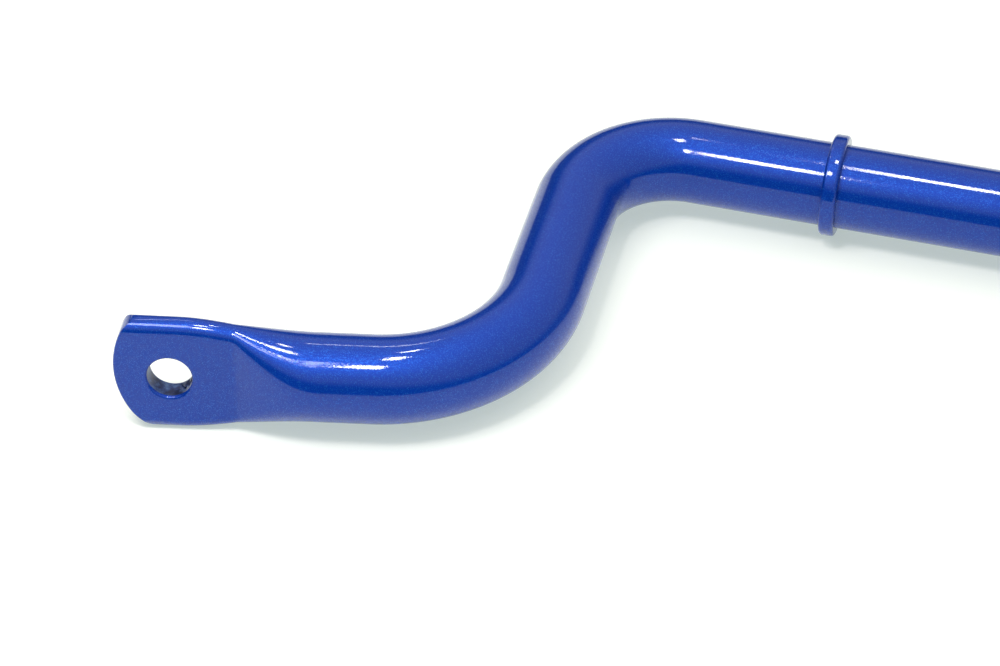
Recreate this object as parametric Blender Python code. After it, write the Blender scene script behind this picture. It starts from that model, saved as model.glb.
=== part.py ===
"""Sway bar: one hollow steel tube with flattened, punched ends, and two locator rings.

Frame: +X along the main bar, +Y from the eyes towards the main bar, +Z up. The origin is under
the middle of the whole bar, level with the lowest edges of the eyes. Lengths are in metres.

The tube's route lies flat. From the tip of one eye it runs straight, takes the outer bend, runs
along the leg, takes the inner bend and crosses as the main bar, then does the same in mirror
image. Each cross-section is a stadium: a circle on the tube, and two flats with round folds
where the tube is pressed into an eye.
"""
import math

import bmesh
import bpy
from mathutils import Vector

MM = 0.001

# Tube
TUBE_DIAMETER = 25.0 * MM
WALL = 3.8 * MM

# Route of the centreline, from the tip of an eye to the middle of the main bar
EYE_END_LENGTH = 71.0 * MM
OUTER_BEND_RADIUS = 45.5 * MM
OUTER_BEND_ANGLE = math.radians(79.5)
LEG_LENGTH = 42.0 * MM
INNER_BEND_RADIUS = 29.0 * MM
INNER_BEND_ANGLE = math.radians(91.5)
MAIN_BAR_LENGTH = 732.0 * MM

# Eye: the tube pressed flat, then blended back into the round tube
EYE_THICKNESS = 2.0 * WALL
EYE_HEIGHT = 35.0 * MM
EYE_TWIST = math.radians(7.5)
HEIGHT_BLEND_START = 18.0 * MM
HEIGHT_BLEND_END = 56.0 * MM
PRESS_EDGE = 33.5 * MM
THICKNESS_BLEND_END = 57.5 * MM
TIP_ARC_RADIUS = 27.0 * MM
TIP_ARC_RISE = 2.8 * MM
TIP_UPPER_CORNER_RADIUS = 6.0 * MM
TIP_LOWER_CORNER_RADIUS = 13.0 * MM
BOLT_HOLE_DIAMETER = 12.5 * MM
BOLT_HOLE_FROM_TIP = 15.5 * MM

# Slit that the tube's hollow leaves where its walls are pressed together
SLIT_WIDTH = 0.6 * MM
SLIT_MOUTH_HEIGHT = 8.0 * MM

# Locator rings
RING_DIAMETER = 30.0 * MM
RING_WIDTH = 4.5 * MM
RING_EDGE_RADIUS = 0.8 * MM
RING_FROM_INNER_BEND = 42.0 * MM
FIT_GAP = 0.3 * MM

# Paint: linear colours, and one finish for all pieces
BAR_BLUE = (0.030, 0.085, 0.50)
RING_BLUE = (0.032, 0.090, 0.52)
PAINT_METALLIC = 0.6
PAINT_ROUGHNESS = 0.3

# Fineness of the meshes
FOLD_POINTS_OUTSIDE = 15
FOLD_POINTS_INSIDE = 11
BEND_STEP = math.radians(8.0)
BLEND_STEP = 3.2 * MM
TIP_ARC_STEPS = 10
TIP_CORNER_STEPS = 6
HOLE_SIDES = 48
RING_STEPS = 48
RING_EDGE_STEPS = 3
CUT_OVERRUN = 4.0 * MM
SAME_POINT = 0.003 * MM
SHARP_EDGE = math.radians(35.0)

UP = Vector((0.0, 0.0, 1.0))


def clear_scene():
    """Remove whatever the open file holds."""
    for obj in list(bpy.data.objects):
        bpy.data.objects.remove(obj, do_unlink=True)


def route():
    """Length and signed curvature of each stretch of the centreline, from tip to tip."""
    outer_bend = (OUTER_BEND_RADIUS * OUTER_BEND_ANGLE, 1.0 / OUTER_BEND_RADIUS)
    inner_bend = (INNER_BEND_RADIUS * INNER_BEND_ANGLE, -1.0 / INNER_BEND_RADIUS)
    half = [(EYE_END_LENGTH, 0.0), outer_bend, (LEG_LENGTH, 0.0), inner_bend]
    return half + [(MAIN_BAR_LENGTH, 0.0)] + half[::-1]


ROUTE = route()
ROUTE_LENGTH = sum(length for length, _ in ROUTE)
START_HEADING = INNER_BEND_ANGLE - OUTER_BEND_ANGLE


def walk(distance):
    """Point and heading on the centreline, with the first tip at (0, 0)."""
    point = Vector((0.0, 0.0, 0.0))
    heading = START_HEADING
    left = distance
    for number, (length, curvature) in enumerate(ROUTE):
        is_last = number == len(ROUTE) - 1
        step = left if is_last else min(left, length)
        if curvature == 0.0:
            point += Vector((math.cos(heading), math.sin(heading), 0.0)) * step
        else:
            turned = heading + step * curvature
            point += Vector((
                (math.sin(turned) - math.sin(heading)) / curvature,
                (math.cos(heading) - math.cos(turned)) / curvature,
                0.0,
            ))
            heading = turned
        left -= step
        if left <= 0.0:
            break
    return point, heading


MIDDLE_X = walk(ROUTE_LENGTH / 2.0)[0].x


def frame_at(distance):
    """Centre, direction of travel, and the section's thickness and height axes."""
    point, heading = walk(distance)
    point.x -= MIDDLE_X
    along = Vector((math.cos(heading), math.sin(heading), 0.0))
    across = UP.cross(along)
    thickness_axis = across * math.cos(EYE_TWIST) - UP * math.sin(EYE_TWIST)
    height_axis = across * math.sin(EYE_TWIST) + UP * math.cos(EYE_TWIST)
    return point, along, thickness_axis, height_axis


def share(value, start, end):
    """How far value has gone from start to end, from 0 to 1."""
    return min(max((value - start) / (end - start), 0.0), 1.0)


def mix(first, second, amount):
    return first + (second - first) * amount


def outer_halves(from_tip):
    """Half thickness and half height of the tube's outside at a distance from the nearest tip."""
    radius = TUBE_DIAMETER / 2.0
    thickness_share = math.sin(share(from_tip, PRESS_EDGE, THICKNESS_BLEND_END) * math.pi / 2.0)
    height_way = share(from_tip, HEIGHT_BLEND_START, HEIGHT_BLEND_END)
    height_share = height_way * height_way * (3.0 - 2.0 * height_way)
    half_thickness = mix(EYE_THICKNESS / 2.0, radius, thickness_share)
    half_height = mix(EYE_HEIGHT / 2.0, radius, height_share)
    return half_thickness, max(half_height, half_thickness)


def inner_halves(from_tip):
    """The same for the hollow, which closes to a slit where the tube is pressed flat."""
    half_thickness, half_height = outer_halves(from_tip)
    hollow_thickness = max(half_thickness - WALL, SLIT_WIDTH / 2.0)
    mouth_share = share(from_tip, BOLT_HOLE_FROM_TIP, PRESS_EDGE)
    hollow_height = mix(SLIT_MOUTH_HEIGHT / 2.0, half_height - WALL, mouth_share)
    return hollow_thickness, max(hollow_height, hollow_thickness)


def bend_distances():
    """Distances along the route where the bends are divided."""
    distances = []
    start = 0.0
    for length, curvature in ROUTE:
        if curvature != 0.0:
            steps = round(abs(length * curvature) / BEND_STEP)
            distances += [start + length * step / steps for step in range(steps + 1)]
        start += length
    return distances


def blend_distances():
    """Distances from a tip where the stretch from flat eye to round tube is divided."""
    stretches = [(HEIGHT_BLEND_START, PRESS_EDGE), (PRESS_EDGE, THICKNESS_BLEND_END)]
    distances = [HEIGHT_BLEND_START]
    for start, end in stretches:
        steps = round((end - start) / BLEND_STEP)
        distances += [mix(start, end, (step + 1) / steps) for step in range(steps)]
    return distances


def station_distances(first):
    """All distances along the route with a cross-section, starting at first from each tip."""
    from_tip = [first] + [distance for distance in blend_distances() if distance > first]
    to_tip = [ROUTE_LENGTH - distance for distance in from_tip]
    return sorted(from_tip + bend_distances() + to_tip)


def section_ring(bm, distance, halves, fold_points):
    """Vertices of one stadium-shaped cross-section, in order around it."""
    centre, _, thickness_axis, height_axis = frame_at(distance)
    half_thickness, half_height = halves(min(distance, ROUTE_LENGTH - distance))
    flat_half = half_height - half_thickness
    fold_step = math.pi / fold_points
    ring = []
    for side in (1.0, -1.0):
        for number in range(fold_points):
            angle = (number + 0.5) * fold_step
            thickness = side * half_thickness * math.cos(angle)
            height = side * (half_thickness * math.sin(angle) + flat_half)
            ring.append(bm.verts.new(centre + thickness_axis * thickness + height_axis * height))
    return ring


def swept_tube(name, first, halves, fold_points):
    """A closed body swept along the route, from first to the same distance off the far tip."""
    bm = bmesh.new()
    rings = [section_ring(bm, distance, halves, fold_points) for distance in station_distances(first)]
    for ring, following in zip(rings, rings[1:]):
        for number, vertex in enumerate(ring):
            after = (number + 1) % len(ring)
            bm.faces.new((vertex, ring[after], following[after], following[number]))
    bm.faces.new(rings[0])
    bm.faces.new(rings[-1])
    bmesh.ops.recalc_face_normals(bm, faces=bm.faces)
    return finished_object(name, bm)


def finished_object(name, bm):
    """Turn a bmesh into an object in the scene."""
    mesh = bpy.data.meshes.new(name)
    bm.to_mesh(mesh)
    bm.free()
    obj = bpy.data.objects.new(name, mesh)
    bpy.context.scene.collection.objects.link(obj)
    return obj


def as_cutter(obj):
    obj.hide_render = True
    obj.display_type = "WIRE"
    return obj


def subtract(obj, cutter):
    """Cut one object out of another, live."""
    boolean = obj.modifiers.new(cutter.name, "BOOLEAN")
    boolean.operation = "DIFFERENCE"
    boolean.solver = "EXACT"
    boolean.object = cutter


def arc(centre, radius, start, end, steps):
    """Points on an arc in the eye's plane, from angle start to angle end."""
    angles = [mix(start, end, step / steps) for step in range(steps + 1)]
    return [(centre[0] + radius * math.cos(a), centre[1] + radius * math.sin(a)) for a in angles]


def tip_corner(side, radius):
    """Centre of the tip's upper (side 1) or lower (side -1) corner, and its angle at the arc."""
    height = side * (EYE_HEIGHT / 2.0 - radius)
    above_arc_centre = height - TIP_ARC_RISE
    reach = TIP_ARC_RADIUS - radius
    from_tip = TIP_ARC_RADIUS - math.sqrt(reach ** 2 - above_arc_centre ** 2)
    return (from_tip, height), math.pi - math.asin(above_arc_centre / reach)


def tip_outline():
    """Outline of what is trimmed off the tip, as (distance from the tip, height) pairs."""
    upper, nose_start = tip_corner(1.0, TIP_UPPER_CORNER_RADIUS)
    lower, nose_end = tip_corner(-1.0, TIP_LOWER_CORNER_RADIUS)
    nose = (TIP_ARC_RADIUS, TIP_ARC_RISE)
    top = math.pi / 2.0
    bottom = 3.0 * math.pi / 2.0
    points = arc(upper, TIP_UPPER_CORNER_RADIUS, top, nose_start, TIP_CORNER_STEPS)
    points += arc(nose, TIP_ARC_RADIUS, nose_start, nose_end, TIP_ARC_STEPS)[1:-1]
    points += arc(lower, TIP_LOWER_CORNER_RADIUS, nose_end, bottom, TIP_CORNER_STEPS)
    clear_height = EYE_HEIGHT / 2.0 + CUT_OVERRUN
    clear_start = -2.0 * CUT_OVERRUN
    points += [(lower[0], -clear_height), (clear_start, -clear_height)]
    points += [(clear_start, clear_height), (upper[0], clear_height)]
    return points


def hole_outline():
    """Outline of the bolt hole, as (distance from the tip, height) pairs."""
    return arc((BOLT_HOLE_FROM_TIP, 0.0), BOLT_HOLE_DIAMETER / 2.0, 0.0, math.tau, HOLE_SIDES)[:-1]


def eye_punch(name, outline):
    """A cutter that runs through both eyes along their thickness, with the given outline."""
    bm = bmesh.new()
    depth = EYE_THICKNESS + 2.0 * CUT_OVERRUN
    for tip, inward in ((0.0, 1.0), (ROUTE_LENGTH, -1.0)):
        centre, along, thickness_axis, height_axis = frame_at(tip)
        start = centre - thickness_axis * depth / 2.0
        verts = []
        for from_tip, height in outline:
            verts.append(bm.verts.new(start + along * inward * from_tip + height_axis * height))
        face = bm.faces.new(verts)
        wall = bmesh.ops.extrude_face_region(bm, geom=[face])
        moved = [item for item in wall["geom"] if isinstance(item, bmesh.types.BMVert)]
        bmesh.ops.translate(bm, verts=moved, vec=thickness_axis * depth)
    bmesh.ops.recalc_face_normals(bm, faces=bm.faces)
    return as_cutter(finished_object(name, bm))


def make_bar():
    """The bar: swept tube, less its hollow, its trimmed tips and its bolt holes."""
    bar = swept_tube("bar_tube", -CUT_OVERRUN, outer_halves, FOLD_POINTS_OUTSIDE)
    hollow = as_cutter(swept_tube("hollow", BOLT_HOLE_FROM_TIP, inner_halves, FOLD_POINTS_INSIDE))
    cutters = [hollow, eye_punch("tip_trim", tip_outline()), eye_punch("bolt_hole", hole_outline())]
    for cutter in cutters:
        subtract(bar, cutter)
    shade(bar)
    return bar, cutters


def ring_profile():
    """Closed profile of a locator ring, as (distance along the bar, radius) pairs."""
    bore = TUBE_DIAMETER / 2.0 + FIT_GAP
    outside = RING_DIAMETER / 2.0
    half_width = RING_WIDTH / 2.0
    edge = RING_EDGE_RADIUS
    right_angle = math.pi / 2.0
    points = [(half_width, bore)]
    points += arc((half_width - edge, outside - edge), edge, 0.0, right_angle, RING_EDGE_STEPS)
    points += arc((edge - half_width, outside - edge), edge, right_angle, math.pi, RING_EDGE_STEPS)
    points += [(-half_width, bore)]
    return points


def make_ring(name, from_middle):
    """A turned ring around the main bar, from_middle along it."""
    bm = bmesh.new()
    verts = [bm.verts.new((along, 0.0, radius)) for along, radius in ring_profile()]
    edges = [bm.edges.new((verts[i - 1], verts[i])) for i in range(len(verts))]
    bmesh.ops.spin(
        bm, geom=verts + edges, cent=(0.0, 0.0, 0.0), axis=(1.0, 0.0, 0.0),
        angle=math.tau, steps=RING_STEPS, use_merge=True,
    )
    bmesh.ops.remove_doubles(bm, verts=bm.verts, dist=SAME_POINT)
    bmesh.ops.recalc_face_normals(bm, faces=bm.faces)
    ring = finished_object(name, bm)
    ring.location = (from_middle, walk(ROUTE_LENGTH / 2.0)[0].y, 0.0)
    shade(ring)
    return ring


def shade(obj):
    """Smooth on the round surfaces, sharp at the cut edges."""
    obj.data.shade_smooth()
    obj.data.set_sharp_from_angle(angle=SHARP_EDGE)


def paint(obj, name, colour):
    """Give an object its own coat of metallic blue paint."""
    material = bpy.data.materials.new(name)
    material.use_nodes = True
    surface = material.node_tree.nodes["Principled BSDF"]
    surface.inputs["Base Color"].default_value = (*colour, 1.0)
    surface.inputs["Metallic"].default_value = PAINT_METALLIC
    surface.inputs["Roughness"].default_value = PAINT_ROUGHNESS
    obj.data.materials.append(material)


def stand_on_origin(pieces, cutters):
    """Put the origin under the middle of the bounding box, by moving the frame of every piece."""
    frame = bpy.data.objects.new("bar_frame", None)
    bpy.context.scene.collection.objects.link(frame)
    for obj in pieces + cutters:
        obj.parent = frame
    graph = bpy.context.evaluated_depsgraph_get()
    corners = []
    for piece in pieces:
        evaluated = piece.evaluated_get(graph)
        mesh = evaluated.to_mesh()
        corners += [evaluated.matrix_world @ vertex.co for vertex in mesh.vertices]
        evaluated.to_mesh_clear()
    lows = [min(corner[axis] for corner in corners) for axis in range(3)]
    highs = [max(corner[axis] for corner in corners) for axis in range(3)]
    frame.location = (-(lows[0] + highs[0]) / 2.0, -(lows[1] + highs[1]) / 2.0, -lows[2])


def main():
    clear_scene()
    bar, cutters = make_bar()
    ring_from_middle = MAIN_BAR_LENGTH / 2.0 - RING_FROM_INNER_BEND
    left_ring = make_ring("left_locator_ring", -ring_from_middle)
    right_ring = make_ring("right_locator_ring", ring_from_middle)
    paint(bar, "bar_paint", BAR_BLUE)
    paint(left_ring, "left_ring_paint", RING_BLUE)
    paint(right_ring, "right_ring_paint", RING_BLUE)
    stand_on_origin([bar, left_ring, right_ring], cutters)


main()
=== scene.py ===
"""Looks of the sway bar: a metallic-flake blue tube with flattened eyes, on a white table.

Everything is in metres, in the CAD frame: +X along the main bar, +Y from the eyes to the main
bar, +Z up. The bar and its two rings are rebuilt here as fine, smooth meshes in the space that
the CAD solids hold.
"""
import math

import bmesh
import bpy
from mathutils import Matrix, Vector


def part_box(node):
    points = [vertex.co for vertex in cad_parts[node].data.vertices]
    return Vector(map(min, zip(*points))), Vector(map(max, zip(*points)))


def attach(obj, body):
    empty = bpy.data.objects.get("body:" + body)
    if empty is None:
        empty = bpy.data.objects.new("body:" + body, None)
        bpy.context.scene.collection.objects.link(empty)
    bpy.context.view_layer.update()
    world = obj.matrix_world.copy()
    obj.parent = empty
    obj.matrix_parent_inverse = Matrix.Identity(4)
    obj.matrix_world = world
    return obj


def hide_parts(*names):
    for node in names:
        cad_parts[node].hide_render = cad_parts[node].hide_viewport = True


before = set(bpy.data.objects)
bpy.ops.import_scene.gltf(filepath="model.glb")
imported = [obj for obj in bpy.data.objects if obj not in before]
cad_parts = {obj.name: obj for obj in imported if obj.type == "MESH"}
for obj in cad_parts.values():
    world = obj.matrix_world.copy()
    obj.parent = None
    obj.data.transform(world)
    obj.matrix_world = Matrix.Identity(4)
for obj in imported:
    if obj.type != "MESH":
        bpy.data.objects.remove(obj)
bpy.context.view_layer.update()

MM = 0.001
UP = Vector((0.0, 0.0, 1.0))

# The tube and its route, as in the CAD model
TUBE_RADIUS = 12.5 * MM
WALL = 3.8 * MM
EYE_END_LENGTH = 71.0 * MM
OUTER_BEND_RADIUS = 45.5 * MM
OUTER_BEND_ANGLE = math.radians(79.5)
LEG_LENGTH = 42.0 * MM
INNER_BEND_RADIUS = 29.0 * MM
INNER_BEND_ANGLE = math.radians(91.5)
MAIN_BAR_LENGTH = 732.0 * MM

# The flattened eye
EYE_THICKNESS = 2.0 * WALL
EYE_HEIGHT = 35.0 * MM
EYE_TWIST = math.radians(7.5)
HEIGHT_BLEND_START = 18.0 * MM
HEIGHT_BLEND_END = 56.0 * MM
PRESS_EDGE = 33.5 * MM
THICKNESS_BLEND_END = 57.5 * MM
TIP_ARC_RADIUS = 27.0 * MM
TIP_ARC_RISE = 2.8 * MM
TIP_UPPER_CORNER_RADIUS = 6.0 * MM
TIP_LOWER_CORNER_RADIUS = 13.0 * MM
BOLT_HOLE_RADIUS = 6.25 * MM
BOLT_HOLE_FROM_TIP = 15.5 * MM
TIP_ROUNDING = 0.7 * MM
RIM_ROUNDING = 0.9 * MM
SLIT_WIDTH = 4.8 * MM
SLIT_MOUTH_HALF = 3.9 * MM
SLIT_MOUTH_DROP = 2.3 * MM
SLIT_DEPTH = 3.0 * MM
SLIT_STEPS = 26

# The slit's ragged sides: shares of its width, and waves per step along it
RAGGED_LEAST = 0.5
RAGGED_MIDDLE = 0.3
RAGGED_SWING = 0.35
RAGGED_WAVE = 2.1
RAGGED_SLOW_WAVE = 0.77
RAGGED_SLOW_START = 1.0
SIDEWAYS_SHARE = 0.25
SIDEWAYS_WAVE = 1.3
NARROWEST_SQUARED = 0.02

# How far the skin stays inside the CAD solids, whose folds are faceted
SKIN_INSET = 0.1 * MM

# The rings
RING_EDGE_RADIUS = 1.0 * MM
RING_SINK = 0.3 * MM
RING_STEPS = 160

# Paint; colours are linear, and spacings are waves per metre
FLAKE_SIZE = 0.14 * MM
FLAKE_SHARE = 0.12
FLAKE_LEAN = 0.14
PAINT_METALLIC = 0.42
PEEL_DEPTH = 0.009 * MM
PEEL_WAVES = 1600.0
PIGMENT_WAVES = 60.0
PIGMENT_DARK = (0.0012, 0.034, 0.305, 1.0)
PIGMENT_LIGHT = (0.0018, 0.039, 0.335, 1.0)
FLAKE_COLOUR = (0.016, 0.110, 0.50, 1.0)
FLAKE_METALLIC = 0.9
PAINT_ROUGHNESS = 0.48
COAT_ROUGHNESS = 0.06
COAT_IOR = 1.42

# Bare steel with overspray, in the bolt holes
BORE_WAVES = 260.0
BORE_DARK = (0.003, 0.009, 0.050, 1.0)
BORE_MIDDLE = (0.022, 0.045, 0.15, 1.0)
BORE_PALE = (0.08, 0.15, 0.32, 1.0)
BORE_SMOOTH = 0.22
BORE_ROUGH = 0.55
BORE_RELIEF = 0.05 * MM
BORE_METALLIC = 0.35

# The table
TABLE_HALF_WIDTH = 8.0
TABLE_COLOUR = (0.63, 0.61, 0.58, 1.0)
TABLE_GLOW = (0.39, 0.45, 0.39, 1.0)

# The room: its dark part low down, and how bright it is level with the table and overhead
DARK_UP_TO = 0.22
CLEAR_FROM = 0.52
DARK_SHARE = 0.02
CLEARER_RIGHT = 0.20
CLEARER_BACK = 0.10
ROOM_LEVEL = 0.62
ROOM_OVERHEAD = 0.85

# Fineness
AROUND = 132
BEND_STEP = math.radians(2.0)
BLEND_STEP = 0.8 * MM
CUT_OVERRUN = 4.0 * MM
FACE_SLANT = math.radians(7.0)
FLARE_RISE = 0.25 * MM
PUNCH_STEPS = 6
SHARP_EDGE = math.radians(40.0)
SAME_POINT = 0.001 * MM


def route():
    """Length and signed curvature of each stretch of the centreline, from tip to tip."""
    outer_bend = (OUTER_BEND_RADIUS * OUTER_BEND_ANGLE, 1.0 / OUTER_BEND_RADIUS)
    inner_bend = (INNER_BEND_RADIUS * INNER_BEND_ANGLE, -1.0 / INNER_BEND_RADIUS)
    half = [(EYE_END_LENGTH, 0.0), outer_bend, (LEG_LENGTH, 0.0), inner_bend]
    return half + [(MAIN_BAR_LENGTH, 0.0)] + half[::-1]


ROUTE = route()
ROUTE_LENGTH = sum(length for length, _ in ROUTE)
START_HEADING = INNER_BEND_ANGLE - OUTER_BEND_ANGLE


def walk(distance):
    """Point and heading on the centreline, with the first tip at (0, 0)."""
    point = Vector((0.0, 0.0, 0.0))
    heading = START_HEADING
    left = distance
    for number, (length, curvature) in enumerate(ROUTE):
        is_last = number == len(ROUTE) - 1
        step = left if is_last else min(left, length)
        if curvature == 0.0:
            point += Vector((math.cos(heading), math.sin(heading), 0.0)) * step
        else:
            turned = heading + step * curvature
            point += Vector((
                (math.sin(turned) - math.sin(heading)) / curvature,
                (math.cos(heading) - math.cos(turned)) / curvature,
                0.0,
            ))
            heading = turned
        left -= step
        if left <= 0.0:
            break
    return point, heading


def bar_offset():
    """From the route's own start to the CAD frame, found from where the CAD ring sits."""
    low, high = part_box("left_locator_ring")
    ring_centre = (Vector(low) + Vector(high)) / 2.0
    middle = walk(ROUTE_LENGTH / 2.0)[0]
    return Vector((-middle.x, ring_centre.y - middle.y, ring_centre.z))


OFFSET = bar_offset()


def frame_at(distance):
    """Centre, direction of travel, and the section's thickness and height axes."""
    point, heading = walk(distance)
    along = Vector((math.cos(heading), math.sin(heading), 0.0))
    across = UP.cross(along)
    thickness_axis = across * math.cos(EYE_TWIST) - UP * math.sin(EYE_TWIST)
    height_axis = across * math.sin(EYE_TWIST) + UP * math.cos(EYE_TWIST)
    return point + OFFSET, along, thickness_axis, height_axis


def share(value, start, end):
    """How far value has gone from start to end, from 0 to 1."""
    return min(max((value - start) / (end - start), 0.0), 1.0)


def mix(first, second, amount):
    return first + (second - first) * amount


def outer_halves(from_tip):
    """Half thickness and half height of the tube's outside at a distance from the nearest tip."""
    thickness_share = math.sin(share(from_tip, PRESS_EDGE, THICKNESS_BLEND_END) * math.pi / 2.0)
    height_way = share(from_tip, HEIGHT_BLEND_START, HEIGHT_BLEND_END)
    height_share = height_way * height_way * (3.0 - 2.0 * height_way)
    half_thickness = mix(EYE_THICKNESS / 2.0, TUBE_RADIUS, thickness_share)
    half_height = max(mix(EYE_HEIGHT / 2.0, TUBE_RADIUS, height_share), half_thickness)
    return half_thickness - SKIN_INSET, half_height - SKIN_INSET


def stadium_point(half_thickness, half_height, way):
    """A point on the section at a share of the way round it, starting from its top."""
    flat_half = half_height - half_thickness
    quarter = half_thickness * math.pi / 2.0
    quarter_way = quarter + flat_half
    quadrant = int(way * 4.0) % 4
    along = (way * 4.0 - int(way * 4.0)) * quarter_way
    if quadrant % 2:
        along = quarter_way - along
    if along < quarter:
        angle = along / half_thickness
        thickness = half_thickness * math.sin(angle)
        height = flat_half + half_thickness * math.cos(angle)
    else:
        thickness = half_thickness
        height = flat_half - (along - quarter)
    return thickness * (1.0 if quadrant < 2 else -1.0), height * (-1.0 if quadrant in (1, 2) else 1.0)


def section_ring(bm, distance):
    """Vertices of one cross-section, evenly spaced around it."""
    centre, _, thickness_axis, height_axis = frame_at(distance)
    half_thickness, half_height = outer_halves(min(distance, ROUTE_LENGTH - distance))
    ring = []
    for number in range(AROUND):
        thickness, height = stadium_point(half_thickness, half_height, number / AROUND)
        ring.append(bm.verts.new(centre + thickness_axis * thickness + height_axis * height))
    return ring


def station_distances():
    """All distances along the route with a cross-section."""
    from_tip = [-CUT_OVERRUN, HEIGHT_BLEND_START]
    for start, end in ((HEIGHT_BLEND_START, PRESS_EDGE), (PRESS_EDGE, THICKNESS_BLEND_END)):
        steps = round((end - start) / BLEND_STEP)
        from_tip += [mix(start, end, (step + 1) / steps) for step in range(steps)]
    distances = from_tip + [ROUTE_LENGTH - distance for distance in from_tip]
    start = 0.0
    for length, curvature in ROUTE:
        if curvature != 0.0:
            steps = round(abs(length * curvature) / BEND_STEP)
            distances += [start + length * step / steps for step in range(steps + 1)]
        start += length
    return sorted(distances)


def finished_object(name, bm):
    """Turn a bmesh into an object in the scene."""
    mesh = bpy.data.meshes.new(name)
    bm.to_mesh(mesh)
    bm.free()
    obj = bpy.data.objects.new(name, mesh)
    bpy.context.scene.collection.objects.link(obj)
    return obj


def swept_tube():
    bm = bmesh.new()
    rings = [section_ring(bm, distance) for distance in station_distances()]
    for ring, following in zip(rings, rings[1:]):
        for number, vertex in enumerate(ring):
            after = (number + 1) % len(ring)
            bm.faces.new((vertex, ring[after], following[after], following[number]))
    bm.faces.new(rings[0])
    bm.faces.new(rings[-1])
    bmesh.ops.recalc_face_normals(bm, faces=bm.faces)
    return finished_object("bar", bm)


def arc(centre, radius, start, end, steps):
    """Points on an arc from angle start to angle end."""
    angles = [mix(start, end, step / steps) for step in range(steps + 1)]
    return [(centre[0] + radius * math.cos(a), centre[1] + radius * math.sin(a)) for a in angles]


def tip_corner(side, radius):
    """Centre of the tip's upper (side 1) or lower (side -1) corner, and its angle at the arc."""
    height = side * (EYE_HEIGHT / 2.0 - radius)
    above_arc_centre = height - TIP_ARC_RISE
    reach = TIP_ARC_RADIUS - radius
    from_tip = TIP_ARC_RADIUS - math.sqrt(reach ** 2 - above_arc_centre ** 2)
    return (from_tip, height), math.pi - math.asin(above_arc_centre / reach)


def tip_outline(bite):
    """What is trimmed off the tip, bite deeper than its true outline: (from the tip, height)."""
    upper, nose_start = tip_corner(1.0, TIP_UPPER_CORNER_RADIUS)
    lower, nose_end = tip_corner(-1.0, TIP_LOWER_CORNER_RADIUS)
    nose = (TIP_ARC_RADIUS, TIP_ARC_RISE)
    top = math.pi / 2.0
    bottom = 3.0 * math.pi / 2.0
    inset = bite + SKIN_INSET
    points = arc(upper, TIP_UPPER_CORNER_RADIUS - inset, top, nose_start, 14)
    points += arc(nose, TIP_ARC_RADIUS - inset, nose_start, nose_end, 24)[1:-1]
    points += arc(lower, TIP_LOWER_CORNER_RADIUS - inset, nose_end, bottom, 18)
    clear_height = EYE_HEIGHT / 2.0 + CUT_OVERRUN
    clear_start = -2.0 * CUT_OVERRUN
    points += [(lower[0], -clear_height), (clear_start, -clear_height)]
    points += [(clear_start, clear_height), (upper[0], clear_height)]
    return points


def hole_outline(bite):
    """The bolt hole, bite wider than its true radius: (from the tip, height) pairs."""
    return arc((BOLT_HOLE_FROM_TIP, 0.0), BOLT_HOLE_RADIUS + bite, 0.0, math.tau, 96)[:-1]


def punch_levels(rounding):
    """Where through the thickness a punch changes width, and how deep it bites there.

    The edges that it leaves on the eye's two faces are rounded. It meets each face at a slant
    of FACE_SLANT, so that it never lies flat on one.
    """
    half = EYE_THICKNESS / 2.0 - SKIN_INSET
    spread = FLARE_RISE / math.tan(FACE_SLANT)
    levels = []
    for step in range(PUNCH_STEPS + 1):
        angle = mix(FACE_SLANT, math.pi / 2.0, step / PUNCH_STEPS)
        level = half - rounding * (1.0 - math.cos(angle))
        levels.append((level, rounding * (1.0 - math.sin(angle))))
    outer_level, outer_bite = levels[0]
    flare = (outer_level + FLARE_RISE, outer_bite + spread)
    back = [flare] + levels
    back.insert(0, (half + CUT_OVERRUN, flare[1]))
    front = [(-level, bite) for level, bite in reversed(back)]
    return back + front


def eye_punch(name, outline, rounding):
    """A cutter through both eyes along their thickness, with the given outline."""
    bm = bmesh.new()
    for tip, inward in ((0.0, 1.0), (ROUTE_LENGTH, -1.0)):
        centre, along, thickness_axis, height_axis = frame_at(tip)
        rows = []
        for level, bite in punch_levels(rounding):
            start = centre + thickness_axis * level
            row = []
            for from_tip, height in outline(bite):
                row.append(bm.verts.new(start + along * inward * from_tip + height_axis * height))
            rows.append(row)
        for row, following in zip(rows, rows[1:]):
            for number, vertex in enumerate(row):
                after = (number + 1) % len(row)
                bm.faces.new((vertex, row[after], following[after], following[number]))
        bm.faces.new(rows[0])
        bm.faces.new(rows[-1])
    bmesh.ops.recalc_face_normals(bm, faces=bm.faces)
    return finished_object(name, bm)


def subtract(obj, cutter):
    boolean = obj.modifiers.new(cutter.name, "BOOLEAN")
    boolean.operation = "DIFFERENCE"
    boolean.solver = "EXACT"
    boolean.object = cutter


def settle(obj):
    """Replace an object's mesh by what its modifiers make of it."""
    graph = bpy.context.evaluated_depsgraph_get()
    mesh = bpy.data.meshes.new_from_object(obj.evaluated_get(graph))
    obj.modifiers.clear()
    obj.data = mesh


def make_bar():
    bar = swept_tube()
    tip_trim = eye_punch("tip_trim", tip_outline, TIP_ROUNDING)
    bolt_hole = eye_punch("bolt_hole", hole_outline, RIM_ROUNDING)
    cutters = [tip_trim, bolt_hole]
    for cutter in cutters:
        subtract(bar, cutter)
    settle(bar)
    for cutter in cutters:
        bpy.data.objects.remove(cutter)
    slit = make_slit_cutter()
    subtract(bar, slit)
    settle(bar)
    bpy.data.objects.remove(slit)
    bar.data.shade_smooth()
    bar.data.set_sharp_from_angle(angle=SHARP_EDGE)
    bar.data.materials.clear()
    bar.data.materials.append(flake_paint())
    bar.data.materials.append(bare_bore())
    mark_bores(bar.data)
    return bar


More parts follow.
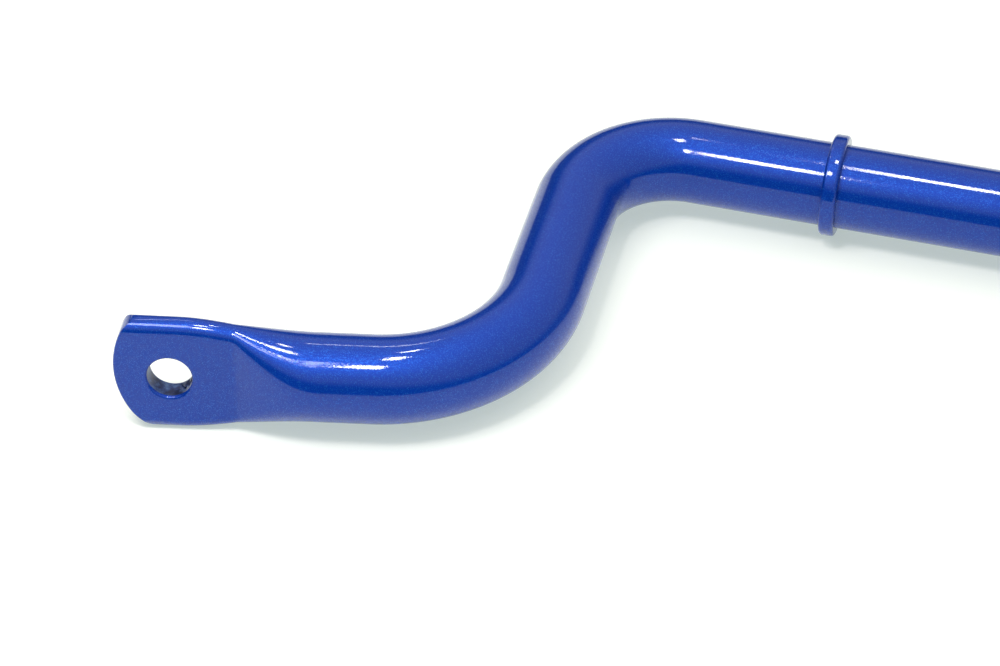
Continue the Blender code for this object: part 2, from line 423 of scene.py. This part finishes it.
def make_slit_cutter():
    """The ragged gap between the tube's two walls, where it opens into each bolt hole."""
    bm = bmesh.new()
    slit_end = BOLT_HOLE_FROM_TIP + BOLT_HOLE_RADIUS + SLIT_DEPTH
    for tip, inward in ((0.0, 1.0), (ROUTE_LENGTH, -1.0)):
        centre, along, thickness_axis, height_axis = frame_at(tip)
        front = []
        back = []
        for step in range(SLIT_STEPS + 1):
            height = mix(-SLIT_MOUTH_HALF, SLIT_MOUTH_HALF, step / SLIT_STEPS)
            slow_wave = math.sin(step * RAGGED_SLOW_WAVE + RAGGED_SLOW_START)
            ragged = RAGGED_MIDDLE + RAGGED_SWING * math.sin(step * RAGGED_WAVE) * slow_wave
            narrow = math.sqrt(max(1.0 - (height / SLIT_MOUTH_HALF) ** 2, NARROWEST_SQUARED))
            half_gap = SLIT_WIDTH * (RAGGED_LEAST + ragged) * narrow / 2.0
            shift = SIDEWAYS_SHARE * SLIT_WIDTH * math.sin(step * SIDEWAYS_WAVE)
            start = centre + height_axis * (height - SLIT_MOUTH_DROP)
            for near, gap in ((front, shift - half_gap), (back, shift + half_gap)):
                row = []
                for from_tip in (BOLT_HOLE_FROM_TIP, slit_end):
                    point = start + along * inward * from_tip + thickness_axis * gap
                    row.append(bm.verts.new(point))
                near.append(row)
        for side in (front, back):
            for row, following in zip(side, side[1:]):
                bm.faces.new((row[0], row[1], following[1], following[0]))
        for end in (0, 1):
            for step in range(SLIT_STEPS):
                after = step + 1
                bm.faces.new((front[step][end], front[after][end], back[after][end], back[step][end]))
        for step in (0, SLIT_STEPS):
            bm.faces.new((front[step][0], front[step][1], back[step][1], back[step][0]))
    bmesh.ops.recalc_face_normals(bm, faces=bm.faces)
    return finished_object("slit", bm)


def mark_bores(mesh):
    """Give the walls of the bolt holes and the slits the second material."""
    for tip, inward in ((0.0, 1.0), (ROUTE_LENGTH, -1.0)):
        centre, along, thickness_axis, _ = frame_at(tip)
        hole = centre + along * inward * BOLT_HOLE_FROM_TIP
        for face in mesh.polygons:
            offset = face.center - hole
            if offset.length > BOLT_HOLE_RADIUS + 2.0 * SLIT_DEPTH:
                continue
            depth = offset.dot(thickness_axis)
            reach = (offset - thickness_axis * depth).length
            on_wall = reach < BOLT_HOLE_RADIUS + 0.05 * MM
            in_slit = abs(depth) < EYE_THICKNESS / 2.0 - RIM_ROUNDING
            if in_slit and (on_wall or reach < BOLT_HOLE_RADIUS + SLIT_DEPTH + 0.1 * MM):
                face.material_index = 1


def make_ring(node):
    """A turned ring with rounded outer edges, whose sides run into the tube's skin."""
    low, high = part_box(node)
    centre = (Vector(low) + Vector(high)) / 2.0
    half_width = (high[0] - low[0]) / 2.0
    outside = (high[2] - low[2]) / 2.0
    edge = RING_EDGE_RADIUS
    inside = TUBE_RADIUS - RING_SINK
    right_angle = math.pi / 2.0
    profile = [(half_width, inside)]
    profile += arc((half_width - edge, outside - edge), edge, 0.0, right_angle, 8)
    profile += arc((edge - half_width, outside - edge), edge, right_angle, math.pi, 8)
    profile += [(-half_width, inside)]
    bm = bmesh.new()
    verts = [bm.verts.new((along, 0.0, radius)) for along, radius in profile]
    edges = [bm.edges.new((verts[i - 1], verts[i])) for i in range(len(verts))]
    bmesh.ops.spin(
        bm, geom=verts + edges, cent=(0.0, 0.0, 0.0), axis=(1.0, 0.0, 0.0),
        angle=math.tau, steps=RING_STEPS, use_merge=True,
    )
    bmesh.ops.remove_doubles(bm, verts=bm.verts, dist=SAME_POINT)
    bmesh.ops.recalc_face_normals(bm, faces=bm.faces)
    bmesh.ops.translate(bm, verts=bm.verts, vec=centre)
    ring = finished_object(node.replace("_locator_ring", "_ring"), bm)
    ring.data.shade_smooth()
    ring.data.set_sharp_from_angle(angle=SHARP_EDGE)
    return ring


def math_node(nodes, links, operation, first, second):
    node = nodes.new("ShaderNodeMath")
    node.operation = operation
    for socket, value in zip(node.inputs, (first, second)):
        if isinstance(value, float):
            socket.default_value = value
        else:
            links.new(value, socket)
    return node.outputs["Value"]


def flake_paint():
    """Deep blue paint with fine metal flakes in it, under a clear coat with orange peel."""
    material = bpy.data.materials.new("flake_blue")
    material.use_nodes = True
    nodes = material.node_tree.nodes
    links = material.node_tree.links
    surface = nodes["Principled BSDF"]
    place = nodes.new("ShaderNodeTexCoord").outputs["Object"]

    cells = nodes.new("ShaderNodeTexVoronoi")
    cells.inputs["Scale"].default_value = 1.0 / FLAKE_SIZE
    links.new(place, cells.inputs["Vector"])
    draws = nodes.new("ShaderNodeSeparateColor")
    links.new(cells.outputs["Color"], draws.inputs["Color"])
    is_flake = math_node(nodes, links, "LESS_THAN", draws.outputs["Blue"], FLAKE_SHARE)

    clouds = nodes.new("ShaderNodeTexNoise")
    clouds.inputs["Scale"].default_value = PIGMENT_WAVES
    clouds.inputs["Detail"].default_value = 4.0
    links.new(place, clouds.inputs["Vector"])
    pigment = nodes.new("ShaderNodeMix")
    pigment.data_type = "RGBA"
    pigment.inputs["A"].default_value = PIGMENT_DARK
    pigment.inputs["B"].default_value = PIGMENT_LIGHT
    links.new(clouds.outputs["Fac"], pigment.inputs["Factor"])
    colour = nodes.new("ShaderNodeMix")
    colour.data_type = "RGBA"
    colour.inputs["B"].default_value = FLAKE_COLOUR
    links.new(is_flake, colour.inputs["Factor"])
    links.new(pigment.outputs["Result"], colour.inputs["A"])
    links.new(colour.outputs["Result"], surface.inputs["Base Color"])
    metal = math_node(nodes, links, "MULTIPLY", is_flake, FLAKE_METALLIC - PAINT_METALLIC)
    metal = math_node(nodes, links, "ADD", metal, PAINT_METALLIC)
    links.new(metal, surface.inputs["Metallic"])

    lean = nodes.new("ShaderNodeVectorMath")
    lean.operation = "SUBTRACT"
    lean.inputs[1].default_value = (0.5, 0.5, 0.5)
    links.new(cells.outputs["Color"], lean.inputs[0])
    scaled = nodes.new("ShaderNodeVectorMath")
    scaled.operation = "SCALE"
    scaled.inputs["Scale"].default_value = FLAKE_LEAN
    links.new(lean.outputs["Vector"], scaled.inputs[0])
    straight = nodes.new("ShaderNodeNewGeometry")
    leaning = nodes.new("ShaderNodeVectorMath")
    leaning.operation = "ADD"
    links.new(straight.outputs["Normal"], leaning.inputs[0])
    links.new(scaled.outputs["Vector"], leaning.inputs[1])
    unit = nodes.new("ShaderNodeVectorMath")
    unit.operation = "NORMALIZE"
    links.new(leaning.outputs["Vector"], unit.inputs[0])
    links.new(unit.outputs["Vector"], surface.inputs["Normal"])

    peel = nodes.new("ShaderNodeTexNoise")
    peel.inputs["Scale"].default_value = PEEL_WAVES
    peel.inputs["Detail"].default_value = 2.0
    links.new(place, peel.inputs["Vector"])
    bump = nodes.new("ShaderNodeBump")
    bump.inputs["Strength"].default_value = 1.0
    bump.inputs["Distance"].default_value = PEEL_DEPTH
    links.new(peel.outputs["Fac"], bump.inputs["Height"])
    links.new(bump.outputs["Normal"], surface.inputs["Coat Normal"])

    surface.inputs["Roughness"].default_value = PAINT_ROUGHNESS
    surface.inputs["Specular IOR Level"].default_value = 0.0
    surface.inputs["Coat Weight"].default_value = 1.0
    surface.inputs["Coat Roughness"].default_value = COAT_ROUGHNESS
    surface.inputs["Coat IOR"].default_value = COAT_IOR
    return material


def bare_bore():
    """The wall of a bolt hole: bare steel with streaks of thin, dark blue overspray."""
    material = bpy.data.materials.new("bare_bore")
    material.use_nodes = True
    nodes = material.node_tree.nodes
    links = material.node_tree.links
    surface = nodes["Principled BSDF"]
    place = nodes.new("ShaderNodeTexCoord").outputs["Object"]
    streaks = nodes.new("ShaderNodeTexNoise")
    streaks.inputs["Scale"].default_value = BORE_WAVES
    streaks.inputs["Detail"].default_value = 5.0
    streaks.inputs["Roughness"].default_value = 0.65
    links.new(place, streaks.inputs["Vector"])
    tones = nodes.new("ShaderNodeValToRGB")
    steps = tones.color_ramp.elements
    steps[0].position = 0.38
    steps[0].color = BORE_DARK
    steps[1].position = 0.62
    steps[1].color = BORE_PALE
    middle = steps.new(0.5)
    middle.color = BORE_MIDDLE
    links.new(streaks.outputs["Fac"], tones.inputs["Fac"])
    links.new(tones.outputs["Color"], surface.inputs["Base Color"])
    finish = nodes.new("ShaderNodeMapRange")
    finish.inputs["To Min"].default_value = BORE_SMOOTH
    finish.inputs["To Max"].default_value = BORE_ROUGH
    links.new(streaks.outputs["Fac"], finish.inputs["Value"])
    links.new(finish.outputs["Result"], surface.inputs["Roughness"])
    bump = nodes.new("ShaderNodeBump")
    bump.inputs["Strength"].default_value = 0.6
    bump.inputs["Distance"].default_value = BORE_RELIEF
    links.new(streaks.outputs["Fac"], bump.inputs["Height"])
    links.new(bump.outputs["Normal"], surface.inputs["Normal"])
    surface.inputs["Metallic"].default_value = BORE_METALLIC
    return material


def make_floor():
    """A white table with a glow of its own, so that shadows on it stay pale."""
    bm = bmesh.new()
    bmesh.ops.create_grid(bm, x_segments=1, y_segments=1, size=TABLE_HALF_WIDTH)
    floor = finished_object("floor", bm)
    material = bpy.data.materials.new("white_table")
    material.use_nodes = True
    surface = material.node_tree.nodes["Principled BSDF"]
    surface.inputs["Base Color"].default_value = TABLE_COLOUR
    surface.inputs["Roughness"].default_value = 0.6
    surface.inputs["Specular IOR Level"].default_value = 0.2
    surface.inputs["Emission Color"].default_value = TABLE_GLOW
    surface.inputs["Emission Strength"].default_value = 1.0
    floor.data.materials.append(material)


def area_light(name, centre, length, width, radiance):
    """A panel with its length along X that shines down, as bright as radiance to look at."""
    light = bpy.data.lights.new(name, "AREA")
    light.shape = "RECTANGLE"
    light.size = length
    light.size_y = width
    light.energy = radiance * math.pi * length * width
    obj = bpy.data.objects.new(name, light)
    bpy.context.scene.collection.objects.link(obj)
    obj.location = centre
    return obj


def tube_light(name, centre, length, width, radiance):
    """A narrow lamp that shows as a gleam in the clear coat and casts no shadow of its own."""
    obj = area_light(name, centre, length, width, radiance)
    obj.visible_diffuse = False
    return obj


def make_world():
    """A pale room with dark surroundings low down, darkest towards the camera and the left.

    The camera itself sees plain white behind the table.
    """
    world = bpy.data.worlds.new("studio")
    bpy.context.scene.world = world
    world.use_nodes = True
    nodes = world.node_tree.nodes
    links = world.node_tree.links
    background = nodes["Background"]
    direction = nodes.new("ShaderNodeTexCoord").outputs["Generated"]
    parts = nodes.new("ShaderNodeSeparateXYZ")
    links.new(direction, parts.inputs["Vector"])
    sideways = math_node(nodes, links, "MULTIPLY", parts.outputs["X"], CLEARER_RIGHT)
    backwards = math_node(nodes, links, "MULTIPLY", parts.outputs["Y"], CLEARER_BACK)
    clear = math_node(nodes, links, "ADD", sideways, backwards)
    clear = math_node(nodes, links, "ADD", clear, parts.outputs["Z"])
    walls = nodes.new("ShaderNodeMapRange")
    walls.interpolation_type = "SMOOTHSTEP"
    walls.inputs["From Min"].default_value = DARK_UP_TO
    walls.inputs["From Max"].default_value = CLEAR_FROM
    walls.inputs["To Min"].default_value = DARK_SHARE
    walls.inputs["To Max"].default_value = 1.0
    links.new(clear, walls.inputs["Value"])
    height = nodes.new("ShaderNodeMapRange")
    height.inputs["To Min"].default_value = ROOM_LEVEL
    height.inputs["To Max"].default_value = ROOM_OVERHEAD
    links.new(parts.outputs["Z"], height.inputs["Value"])
    room = math_node(nodes, links, "MULTIPLY", walls.outputs["Result"], height.outputs["Result"])
    seen = nodes.new("ShaderNodeLightPath").outputs["Is Camera Ray"]
    strength = math_node(nodes, links, "MAXIMUM", room, seen)
    background.inputs["Color"].default_value = (1.0, 1.0, 1.0, 1.0)
    links.new(strength, background.inputs["Strength"])


# The camera, and the point that it looks at, measured from the left tip in the camera's turn
CAMERA_ELEVATION = math.radians(41.4)
CAMERA_TURN = math.radians(15.5)
CAMERA_DISTANCE = 877.5 * MM
SENSOR_WIDTH_MM = 36.0
LENS_MM = 113.5
AIM_FROM_TIP = (105.8 * MM, 14.8 * MM)


def make_camera():
    camera = bpy.data.cameras.new("camera")
    camera.sensor_width = SENSOR_WIDTH_MM
    camera.lens = LENS_MM
    camera.clip_start = 0.01
    camera.clip_end = 50.0
    obj = bpy.data.objects.new("camera", camera)
    bpy.context.scene.collection.objects.link(obj)
    turn = Matrix.Rotation(CAMERA_TURN, 3, "Z")
    tip = frame_at(0.0)[0]
    aim = tip + turn @ Vector((AIM_FROM_TIP[0], AIM_FROM_TIP[1], 0.0))
    back = turn @ Vector((0.0, -math.cos(CAMERA_ELEVATION), math.sin(CAMERA_ELEVATION)))
    obj.location = aim + back * CAMERA_DISTANCE
    obj.rotation_mode = "QUATERNION"
    obj.rotation_quaternion = (-back).to_track_quat("-Z", "Y")
    bpy.context.scene.camera = obj


paint = flake_paint()
bar = make_bar()
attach(bar, "root")
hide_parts("bar_tube")
for node in ("left_locator_ring", "right_locator_ring"):
    ring = make_ring(node)
    ring.data.materials.append(paint)
    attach(ring, "root")
    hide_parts(node)

make_floor()
make_world()
make_camera()
area_light("near_lamp", (-0.42, -0.25, 0.60), 0.06, 0.10, 60.0)
area_light("far_lamp", (-0.595, -0.26, 0.60), 0.25, 0.18, 12.0)
tube_light("ceiling_tube", (-0.445, 0.15, 2.2), 0.15, 0.30, 48.0)
tube_light("second_ceiling_tube", (-1.6, 1.98, 2.2), 1.2, 0.14, 12.0)
tube_light("spot_tube", (-0.470, 0.20, 0.62), 0.02, 0.05, 60.0)
fill = area_light("fill", (0.3, 0.3, 3.0), 4.0, 4.0, 0.55)
fill.visible_glossy = False
bpy.context.scene.view_settings.view_transform = "Standard"
